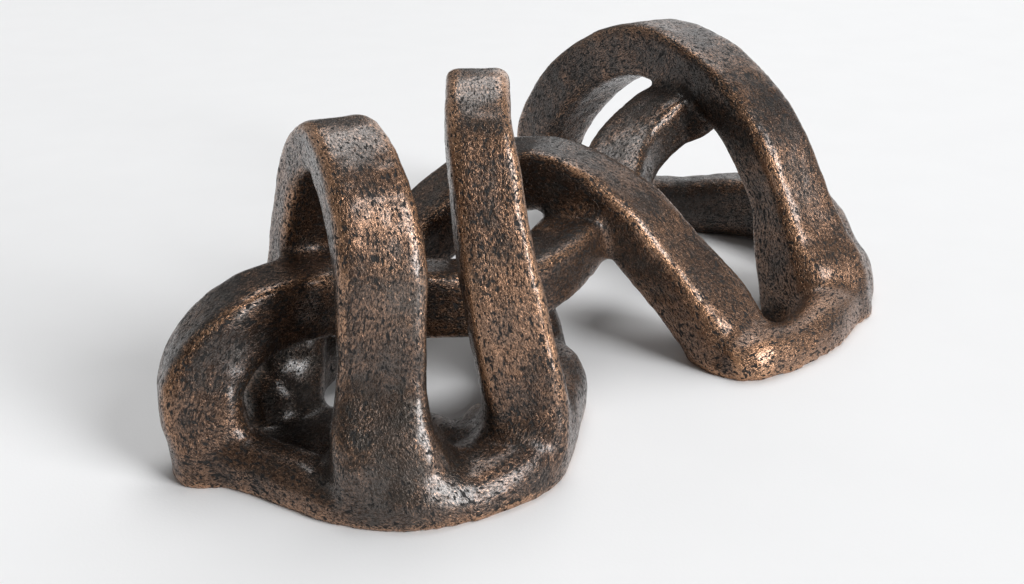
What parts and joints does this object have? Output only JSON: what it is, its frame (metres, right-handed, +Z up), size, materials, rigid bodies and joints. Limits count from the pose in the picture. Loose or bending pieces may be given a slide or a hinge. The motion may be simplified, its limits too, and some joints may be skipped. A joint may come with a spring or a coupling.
{
  "type": "abstract looping sculpture",
  "caption": "Low open-work abstract sculpture in dark bronze-toned pitted clay: looping strands rise from two base masses and pass through each other.",
  "frame": {"origin": "centre of the plan at the flat underside", "axes": "+X along the length towards the big arch's base, +Z up"},
  "size_m": [0.4838, 0.3524, 0.1765],
  "materials": {
    "bronze_clay": "pitted clay with a dark bronze patina, copper rubbed on the raised grain and edges, low metallic sheen"
  },
  "bodies": {
    "root": {"sculpture": "bronze_clay"}
  },
  "joints": []
}
